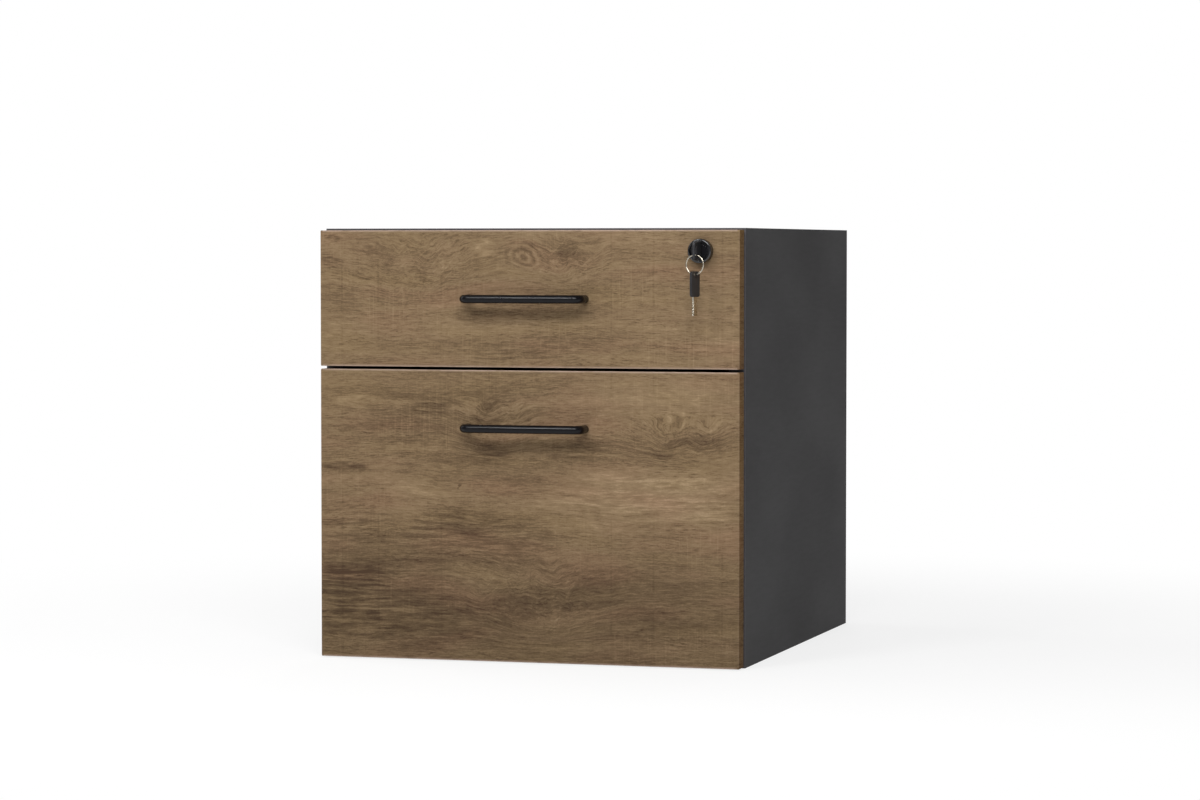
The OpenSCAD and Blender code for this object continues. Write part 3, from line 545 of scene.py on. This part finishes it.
def strip(name, colour):
    """Plain plastic edging, drawn lengthwise, with fine specks."""
    made, tree, shader = new_finish(name, colour, 0.5, shine=0.3)
    place = object_place(tree)
    drawn = noise(tree, place, (700, 700, 12), detail=2)
    specks = noise(tree, place, (350, 350, 350), detail=2)
    shade = calc(tree, "MULTIPLY_ADD", drawn, 0.5, calc(tree, "MULTIPLY", specks, 0.5))
    dark = tuple(value * 0.88 for value in colour)
    light = tuple(min(255, value * 1.12) for value in colour)
    join(tree, stained(tree, shade, (0.3, dark), (0.7, light)), shader, "Base Color")
    join(tree, graded(tree, specks, 0.3, 0.7, 0.42, 0.6), shader, "Roughness")
    bumped(tree, shader, drawn, 0.03)
    return made


def coated(name, colour, rough, shine, grit, depth, edge_shine=None):
    """Sprayed or moulded skin: fine even grain, duller in places or where it turns away."""
    made, tree, shader = new_finish(name, colour, rough, shine=shine)
    place = object_place(tree)
    skin = noise(tree, place, (grit, grit, grit), detail=2, rough=0.6)
    wear = noise(tree, place, (70, 70, 70), detail=3, offset=(3, 1, 2))
    dark = tuple(value * 0.85 for value in colour)
    light = tuple(min(255, value * 1.25 + 2) for value in colour)
    join(tree, stained(tree, wear, (0.35, dark), (0.65, light)), shader, "Base Color")
    join(tree, graded(tree, wear, 0.3, 0.7, rough * 0.85, rough * 1.2), shader, "Roughness")
    if edge_shine is not None:
        away = put(tree, "LayerWeight", Blend=0.5).outputs["Facing"]
        join(tree, graded(tree, away, 0.5, 0.85, shine, edge_shine), shader,
             "Specular IOR Level")
    bumped(tree, shader, skin, depth)
    return made


def plated(name, colour, rough, brushed, spangle=0.0):
    """Plated or drawn metal: brushing along one direction, blotches, fine scratches."""
    made, tree, shader = new_finish(name, colour, rough, metal=1.0)
    place = object_place(tree)
    lines = noise(tree, place, brushed, detail=3, rough=0.6)
    blotch = noise(tree, place, (55, 40, 55), detail=3, rough=0.55, offset=(2, 2, 0))
    dark = tuple(value * (0.86 - spangle) for value in colour)
    light = tuple(min(255, value * (1.06 + spangle)) for value in colour)
    shade = calc(tree, "MULTIPLY_ADD", lines, 0.45, calc(tree, "MULTIPLY", blotch, 0.55))
    join(tree, stained(tree, shade, (0.32, dark), (0.68, light)), shader, "Base Color")
    join(tree, graded(tree, shade, 0.3, 0.7, rough * 0.7, rough * 1.35), shader, "Roughness")
    bumped(tree, shader, lines, 0.02)
    return made


def plain_beech(name):
    made, tree, shader = new_finish(name, (205, 170, 125), 0.6, shine=0.3)
    place = object_place(tree)
    grain = noise(tree, place, (60, 420, 420), detail=3, rough=0.6)
    rays = graded(tree, noise(tree, place, (300, 1500, 1500), detail=1), 0.6, 0.75)
    shade = calc(tree, "MULTIPLY_ADD", rays, -0.2, grain)
    join(tree, stained(tree, shade, (0.25, (170, 132, 90)), (0.5, (203, 168, 124)),
                       (0.75, (222, 191, 150))), shader, "Base Color")
    join(tree, graded(tree, grain, 0.3, 0.7, 0.5, 0.7), shader, "Roughness")
    bumped(tree, shader, shade, 0.08)
    return made


front_oak = oak("Oak decor", 0.12)
edge_oak = oak("Oak edging", 0.03, arris=True)
charcoal = melamine("Charcoal melamine", (63, 62, 63), 0.05)
charcoal_strip = strip("Charcoal edging", (74, 71, 74))
box_grey = melamine("Dark grey drawer board", (62, 62, 64), 0.2)
handle_black = coated("Satin black handle", (9, 7, 10), 0.23, 0.21, 1600, 0.006)
lock_black = coated("Gloss black lock", (13, 13, 17), 0.16, 0.8, 900, 0.008,
                    edge_shine=0.25)
key_black = coated("Key head plastic", (29, 29, 31), 0.4, 0.35, 1200, 0.03)
catch_black = coated("Black nylon", (24, 24, 26), 0.5, 0.35, 1000, 0.04)
rubber = coated("Soft rubber", (30, 30, 31), 0.75, 0.25, 700, 0.06)
nickel = plated("Bright nickel", (200, 192, 176), 0.22, (500, 500, 60))
blade_nickel = plated("Key blade nickel", (216, 208, 192), 0.22, (60, 500, 900))
zinc = plated("Bright zinc", (168, 170, 174), 0.34, (900, 30, 900), spangle=0.02)
cage_metal = plated("Ball cage steel", (160, 162, 166), 0.28, (800, 60, 800))
aluminium = plated("Plain aluminium", (172, 174, 178), 0.34, (800, 800, 25))
beech = plain_beech("Plain beech")

FINISH_OF = {
    "charcoal_board": charcoal, "charcoal_edging": charcoal_strip, "drawer_board": box_grey,
    "oak_decor": front_oak, "oak_edging": edge_oak, "beech": beech, "zinc_steel": zinc,
    "cage_steel": cage_metal, "bar_aluminium": aluminium, "bumper_rubber": rubber,
    "black_handle": handle_black, "black_lock": lock_black, "black_plastic": key_black,
    "key_steel": nickel,
}
# Each CAD node's slot name, read before its material is changed
for node in cad.values():
    for material_slot in node.material_slots:
        known = FINISH_OF.get(material_slot.material.name.split(".")[0])
        if known:
            material_slot.material = known
for name in ("upper_catch", "lower_catch"):
    cad[name].material_slots[0].material = catch_black


# Fronts

FACE_Y = -263
FRONT_X = 231.5
BOARD = 18
EDGING = 2
ARRIS = 1
UPPER_FRONT = (313, 458)
LOWER_FRONT = (1, 310)


def front_edging(name, heights, body, node):
    """A frame of edging round a front, with rounded corners and a rounded front arris."""
    low, high = heights
    ring = block(name, (-FRONT_X, FACE_Y, low), (FRONT_X, FACE_Y + BOARD, high))
    open_up(ring)
    pick(ring, "faces", front_or_back)
    inset(EDGING)
    bpy.ops.mesh.bridge_edge_loops()

    def outside(vert):
        return abs(vert.co.x) > (FRONT_X - NEAR) * MM

    def arris(edge):
        if not all(outside(vert) for vert in edge.verts):
            return False
        return not all(vert.co.y > (FACE_Y + BOARD - 1) * MM for vert in edge.verts)
    pick(ring, "edges", arris)
    bevel(ARRIS, 4)
    close_up()
    mend_normals(ring)
    smooth(ring, 40)
    fit(ring, body, edge_oak, node)


front_edging("upper_edging_rounded", UPPER_FRONT, "upper_drawer", "upper_front_edging")
front_edging("lower_edging_rounded", LOWER_FRONT, "lower_drawer", "lower_front_edging")


# Handles

BAR_R = 4.5
BAR_Y = -286.5
LEG_X = 64
BEND = 7
# Height of the rings of edges next to the front, and the bevel round the legs' ends
FOOT = 1
FOOT_EDGE = 0.5


def handle(name, height, body, node):
    """A round bar bent twice, with its two legs square on the front."""
    def bend(middle_x):
        bpy.ops.mesh.spin(steps=12, angle=-QUARTER, axis=(0, 0, 1),
                          center=(middle_x * MM, (BAR_Y + BEND) * MM, height * MM))
    bar = wire_loop(name, (-LEG_X, FACE_Y, height), BAR_R, (QUARTER, 0, 0), 40)
    open_up(bar)
    bpy.ops.mesh.select_all(action="SELECT")
    push(y=-FOOT)
    push(y=BAR_Y + BEND - FACE_Y + FOOT)
    bend(BEND - LEG_X)
    push(x=2 * (LEG_X - BEND))
    bend(LEG_X - BEND)
    push(y=FACE_Y - BAR_Y - BEND - FOOT)
    push(y=FOOT)
    pick(bar, "edges", lambda edge: edge.is_boundary)
    bpy.ops.mesh.edge_face_add()
    close_up()
    mend_normals(bar)
    open_up(bar)
    pick(bar, "edges", lambda edge: all(abs(v.co.y - FACE_Y * MM) < LEVEL * MM
                                        for v in edge.verts))
    bevel(FOOT_EDGE, 2)
    close_up()
    smooth(bar, 40)
    fit(bar, body, handle_black, node)


handle("upper_bar_handle", 385.5, "upper_drawer", "upper_handle")
handle("lower_bar_handle", 249, "lower_drawer", "lower_handle")


# Lock and keys

LOCK_X = 190.5
LOCK_Z = 436
ROSETTE_R = 12.7
ROSETTE_H = 10
DISH_R = 10.5
DISH_DRAFT = 0.12
DISH_DEPTH = 4.5
PLUG_HOLE_R = 7.3
RIM_ROUND = 1.5
# Bevel of the plug and the key blades
CUT_EDGE = 0.15


def rosette():
    """A turned cap: rounded rim and a dish that takes the foot of the key's head."""
    cap = rod("turned_lock_rosette", (LOCK_X, FACE_Y - ROSETTE_H / 2, LOCK_Z), ROSETTE_R,
              ROSETTE_H, (QUARTER, 0, 0), 96)
    front = (FACE_Y - ROSETTE_H) * MM

    def reach(vert):
        return math.hypot(vert.co.x - LOCK_X * MM, vert.co.z - LOCK_Z * MM)
    open_up(cap)
    pick(cap, "faces", front_or_back)
    inset(ROSETTE_R - PLUG_HOLE_R)
    bpy.ops.mesh.bridge_edge_loops()
    pick(cap, "faces", lambda face: face.normal.y < -0.9)
    inset(ROSETTE_R - DISH_R - DISH_DRAFT)
    inset(DISH_DRAFT)
    pick(cap, "faces", lambda face: all(reach(v) < (DISH_R + DISH_DRAFT / 2) * MM
                                        and v.co.y < front + LEVEL * MM for v in face.verts))
    shift(y=DISH_DEPTH)
    pick(cap, "edges", lambda edge: all(reach(v) > (ROSETTE_R - NEAR) * MM
                                        and v.co.y < front + LEVEL * MM for v in edge.verts))
    bevel(RIM_ROUND, 7)
    close_up()
    mend_normals(cap)
    soften(cap, 0.25, 3, 40)
    fit(cap, "upper_drawer", lock_black, "lock_rosette")


rosette()
fit(traced("lock_plug", "turned_lock_plug", CUT_EDGE), "lock_plug", lock_black,
    "lock_plug")

HEAD_LENGTH = 26.5
HEAD_WIDTH = 19
HEAD_THICK = 2.6
# Corners of the head at its outer end and at its foot, and its softened edges
OUTER_CORNER = 4.5
FOOT_CORNER = 2.6
HEAD_EDGE = 0.75
# Slots for the ring: half width, where they start and where they end along the head
KEY_SLOT = (5.5, 18.7, 24.4)
SPARE_SLOT = (2.4, 21.7, 24.4)


def key_head(name, slot, turn, place, body, node):
    """A moulded grip round the key's tang: rounded outer end, slot for the ring, soft edges."""
    half = HEAD_WIDTH / 2
    grip = block(name, (-half, -HEAD_THICK / 2, 0), (half, HEAD_THICK / 2, HEAD_LENGTH))
    slot_half, slot_low, slot_high = slot
    open_up(grip)
    for point, normal in (((slot_half, 0, 0), (1, 0, 0)), ((-slot_half, 0, 0), (1, 0, 0)),
                          ((0, 0, slot_low), (0, 0, 1)), ((0, 0, slot_high), (0, 0, 1))):
        bpy.ops.mesh.select_all(action="SELECT")
        bpy.ops.mesh.bisect(plane_co=Vector(point) * MM, plane_no=normal)

    def in_slot(face):
        middle = face.calc_center_median() / MM
        return (abs(middle.x) < slot_half and slot_low < middle.z < slot_high
                and front_or_back(face))
    pick(grip, "faces", in_slot)
    bpy.ops.mesh.bridge_edge_loops()

    def corner(height):
        def at_corner(edge):
            along = (edge.verts[0].co - edge.verts[1].co) / MM
            return (abs(along.y) > 2 and all(abs(abs(v.co.x / MM) - half) < 0.01
                                             and abs(v.co.z / MM - height) < 0.01
                                             for v in edge.verts))
        return at_corner
    pick(grip, "edges", corner(HEAD_LENGTH))
    bevel(OUTER_CORNER, 8)
    pick(grip, "edges", corner(0))
    bevel(FOOT_CORNER, 6)
    join_flat(0.5)
    close_up()
    mend_normals(grip)
    soften(grip, HEAD_EDGE, 4, 40)
    grip.rotation_euler = turn
    grip.location = Vector(place) * MM
    settle(grip)
    fit(grip, body, key_black, node)


# Where the head of the key in the lock starts, and the plane that ring and spare key hang in
KEY_HEAD_Y = -268.8
HANG_Y = -290.35
SPARE_HEAD_Z = 388.585
SPARE_TURN = math.radians(78)
KEY_TURN = Matrix(((0, -1, 0), (0, 0, -1), (1, 0, 0))).to_euler()
key_head("moulded_key_head", KEY_SLOT, KEY_TURN, (LOCK_X, KEY_HEAD_Y, LOCK_Z),
         "lock_plug", "key_head")
key_head("moulded_spare_key_head", SPARE_SLOT, (0, 0, SPARE_TURN),
         (LOCK_X, HANG_Y, SPARE_HEAD_Z), "spare_key", "spare_key_head")
fit(traced("key_blade", "milled_key_blade", CUT_EDGE), "lock_plug", blade_nickel,
    "key_blade")
fit(traced("spare_key_blade", "milled_spare_key_blade", CUT_EDGE), "spare_key",
    blade_nickel, "spare_key_blade")

RING_Z = 421.835
RING_R = 10
RING_TURN = math.radians(-13)
# Half width and half height of the flat wire, and from one turn to the next
WIRE_HALF = 0.58
WIRE_HALF_H = 0.205
WIRE_PITCH = 0.42


def split_ring():
    """Two flat turns of spring wire, wound side by side."""
    coil = wire_loop("wound_split_ring", (RING_R, 0, -WIRE_PITCH), 1, (QUARTER, 0, 0), 12)
    coil.scale = (WIRE_HALF, 1, WIRE_HALF_H)
    coil.location = (RING_R * (1 - WIRE_HALF) * MM, 0, -WIRE_PITCH * (1 - WIRE_HALF_H) * MM)
    settle(coil)
    winding = coil.modifiers.new("Winding", "SCREW")
    winding.axis = "Z"
    winding.steps = 96
    winding.render_steps = 96
    winding.angle = 2 * math.pi
    winding.screw_offset = WIRE_PITCH * MM
    winding.iterations = 2
    bpy.ops.object.modifier_apply(modifier=winding.name)
    open_up(coil)
    pick(coil, "edges", lambda edge: edge.is_boundary)
    bpy.ops.mesh.edge_face_add()
    close_up()
    coil.rotation_euler = (QUARTER, 0, RING_TURN)
    coil.location = Vector((LOCK_X, HANG_Y, RING_Z)) * MM
    settle(coil)
    mend_normals(coil)
    smooth(coil, 50)
    fit(coil, "key_ring", nickel, "key_ring")


split_ring()


# Boards and metal parts with their edges broken, each with the width of its bevel
EASED = {
    "side_panel_left": 0.4, "side_panel_right": 0.4, "top_panel": 0.4, "bottom_panel": 0.4,
    "back_panel": 0.4, "carcass_edging": 0.35,
    "upper_box_left": 0.5, "upper_box_right": 0.5, "upper_box_front": 0.5, "upper_box_back": 0.5,
    "lower_box_left": 0.5, "lower_box_right": 0.4, "lower_box_front": 0.5, "lower_box_back": 0.5,
    "upper_box_bottom": 0.3, "lower_box_bottom": 0.3, "file_rails": 0.2, "locking_bar": 0.4,
    "bar_driver_arm": 0.3, "slide_outers_left": 0.2, "slide_outers_right": 0.2,
    "upper_slide_middles": 0.2, "lower_slide_middles": 0.2, "upper_slide_inners": 0.2,
    "lower_slide_inners": 0.2, "upper_catch": 0.4, "lower_catch": 0.4, "lock_housing": 0.25,
}


# How far the verts come up again that the bevel leaves below the node
TRIM = 0.007


def ease(node, width):
    """Stands in for a CAD node with broken edges and reaches no lower than it."""
    piece = traced(node, "eased_" + node, width)
    lowest = min(vert.co.z for vert in cad[node].data.vertices) - LEVEL * MM
    if min(vert.co.z for vert in piece.data.vertices) < lowest:
        open_up(piece)
        pick(piece, "verts", lambda vert: vert.co.z < lowest)
        shift(z=TRIM)
        close_up()
    fit(piece, cad[node]["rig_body"], cad[node].material_slots[0].material, node)


for node, width in EASED.items():
    ease(node, width)


# Stage: a pale floor that runs to white, and a white backdrop where the camera looks

def stage_finish(name, fade):
    """White to the camera; the floor keeps its shadow, the backdrop is clear from behind."""
    made = bpy.data.materials.new(name)
    made.use_nodes = True
    tree = made.node_tree
    tree.nodes.clear()
    matt = put(tree, "BsdfDiffuse", Color=(0.92, 0.92, 0.92, 1))
    paths = put(tree, "LightPath")
    seen = calc(tree, "MAXIMUM", paths.outputs["Is Camera Ray"],
                calc(tree, "MAXIMUM", paths.outputs["Is Glossy Ray"],
                     paths.outputs["Is Transmission Ray"]))
    white = put(tree, "Emission", Color=(1, 1, 1, 1), Strength=1.0)
    if fade:
        place = object_place(tree)
        away = put(tree, "VectorMath", {"operation": "LENGTH"}, at0=place).outputs["Value"]
        seen = calc(tree, "MULTIPLY", seen, graded(tree, away, 0.45, 1.3, 0.75, 1.0))
    both = put(tree, "MixShader", at0=seen, at1=matt.outputs[0], at2=white.outputs[0])
    if not fade:
        behind = put(tree, "NewGeometry").outputs["Backfacing"]
        clear_back = put(tree, "BsdfTransparent")
        both = put(tree, "MixShader", at0=behind, at1=both.outputs[0], at2=clear_back.outputs[0])
    out = put(tree, "OutputMaterial")
    tree.links.new(both.outputs[0], out.inputs["Surface"])
    return made


def stage_sheet(name, place, turn, width, height, finish):
    """A flat sheet of the stage, in metres."""
    bpy.ops.mesh.primitive_plane_add(size=1, location=place, rotation=turn)
    bpy.context.object.scale = (width, height, 1)
    sheet = added(name)
    sheet.data.materials.append(finish)


stage_sheet("floor", (0, 0, 0), (0, 0, 0), 26, 26, stage_finish("Pale floor", True))
stage_sheet("backdrop", (-0.4, 2.4, 0.75), (QUARTER, 0, 0), 4.2, 1.52,
            stage_finish("White backdrop", False))


# Light

world = bpy.data.worlds.new("Studio")
bpy.context.scene.world = world
world.use_nodes = True
background = world.node_tree.nodes["Background"]
background.inputs["Color"].default_value = (1.0, 1.0, 1.0, 1)
background.inputs["Strength"].default_value = 0.22


def soft_lamp(name, place, target, width, height, power):
    """A rectangle of light, in metres and watts, aimed at a target."""
    light = bpy.data.lights.new(name, "AREA")
    light.shape = "RECTANGLE"
    light.size = width
    light.size_y = height
    light.energy = power
    lamp = bpy.data.objects.new(name, light)
    bpy.context.scene.collection.objects.link(lamp)
    lamp.location = place
    lamp.rotation_euler = (Vector(target) - Vector(place)).to_track_quat("-Z", "Y").to_euler()


FRONTS = (0, -0.2, 0.25)
FRONTS_HIGH = (0, -0.2, 0.3)
MIDDLE = (0, 0, 0.25)
soft_lamp("Key lamp", (0.55, -1.75, 1.45), FRONTS, 0.95, 0.75, 23)
soft_lamp("Left front lamp", (-0.56, -1.83, 1.5), FRONTS, 0.5, 0.45, 13.5)
soft_lamp("High front lamp", (-0.6, -1.5, 2.3), FRONTS_HIGH, 1.9, 0.5, 7)
soft_lamp("Left lamp", (-2.2, 0.4, 1.4), MIDDLE, 1.4, 1.4, 22)
soft_lamp("Back lamp", (-0.1, 2.4, 1.9), MIDDLE, 1.4, 1.0, 22)


# Camera, standing to the right of the fronts and looking slightly down

eye = bpy.data.cameras.new("Camera")
eye.lens = 109.15
eye.sensor_width = 36
camera = bpy.data.objects.new("Camera", eye)
bpy.context.scene.collection.objects.link(camera)
camera.location = (1.1570, -3.9184, 0.4374)
camera.rotation_euler = (QUARTER - 0.0413, 0.0, 0.28636)
bpy.context.scene.camera = camera
bpy.context.scene.view_settings.view_transform = "Standard"
